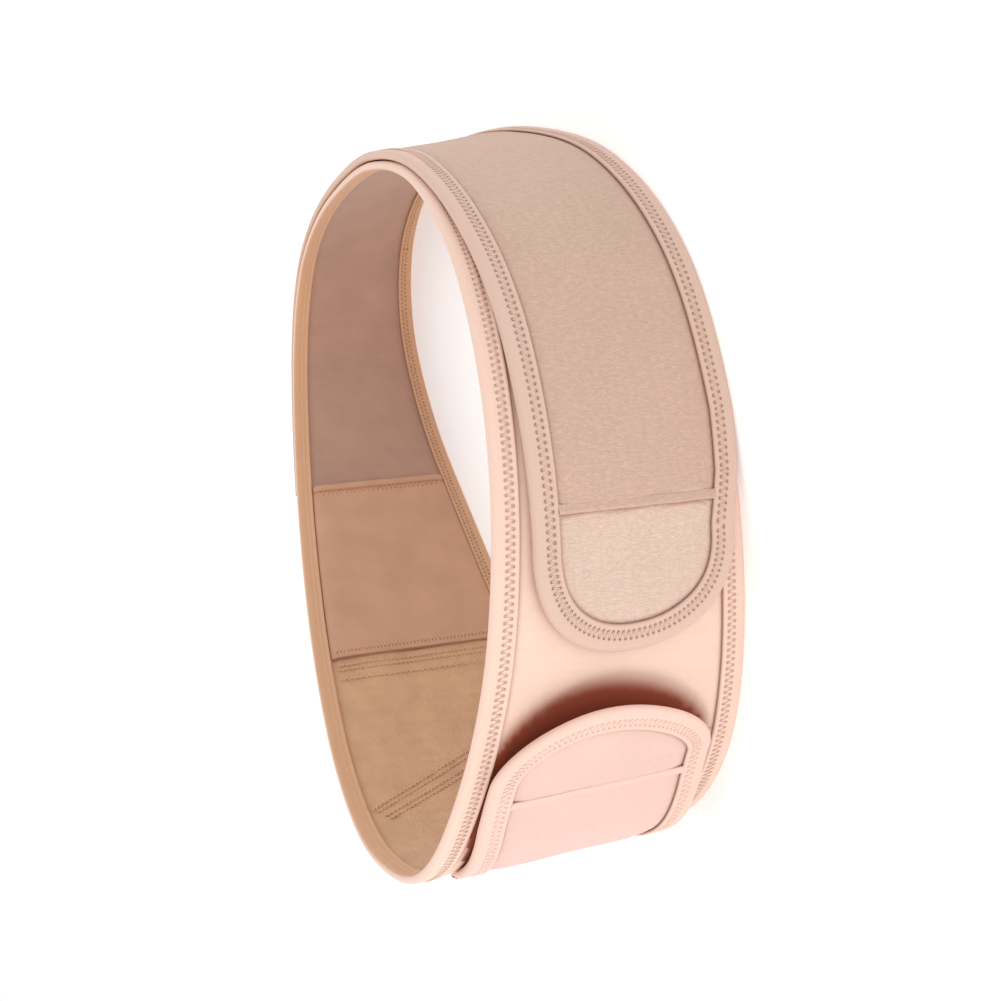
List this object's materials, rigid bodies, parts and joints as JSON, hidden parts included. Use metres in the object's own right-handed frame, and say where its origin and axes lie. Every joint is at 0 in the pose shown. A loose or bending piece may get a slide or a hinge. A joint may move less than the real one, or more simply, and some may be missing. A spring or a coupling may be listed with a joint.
{
  "type": "maternity support belt",
  "caption": "Wide padded cloth belly band closed in an oval loop, with a long outer strap and a short tab joined by hook tape at the front.",
  "frame": {"origin": "middle of the footprint of the closed loop, on the surface that the lower rim rests on", "axes": "+Z along the axis of the loop, from the flat lower rim to the wavy upper rim; +X along the loop's long way towards the narrow end that the outer strap comes round; -Y out of the front wall that carries the closure"},
  "size_m": [0.4076, 0.2795, 0.122],
  "materials": {
    "front_panel": "brushed loop laminate",
    "upper_side_panel": "smooth knit laminate",
    "back_panel": "ribbed stretch knit",
    "lower_side_panel": "brushed loop laminate",
    "upper_rim_binding": "folded elastic with zigzag stitching",
    "lower_rim_binding": "folded elastic with zigzag stitching",
    "back_lining": "smooth knit with a slight sheen",
    "strap_panel": "brushed loop laminate",
    "strap_tip_panel": "brushed loop laminate",
    "strap_binding": "folded elastic with zigzag stitching",
    "strap_hook_patch": "hook tape",
    "tab_panel": "ribbed elastic laminate",
    "tab_tip_panel": "ribbed elastic laminate",
    "tab_binding": "folded elastic with zigzag stitching",
    "tab_hook_patch": "hook tape"
  },
  "bodies": {
    "root": {"front_panel": "front_panel", "upper_side_panel": "upper_side_panel", "back_panel": "back_panel", "lower_side_panel": "lower_side_panel", "upper_rim_binding": "upper_rim_binding", "lower_rim_binding": "lower_rim_binding", "back_lining": "back_lining", "strap_panel": "strap_panel", "strap_tip_panel": "strap_tip_panel", "strap_binding": "strap_binding", "strap_hook_patch": "strap_hook_patch", "tab_panel": "tab_panel", "tab_tip_panel": "tab_tip_panel", "tab_binding": "tab_binding", "tab_hook_patch": "tab_hook_patch"}
  },
  "joints": []
}
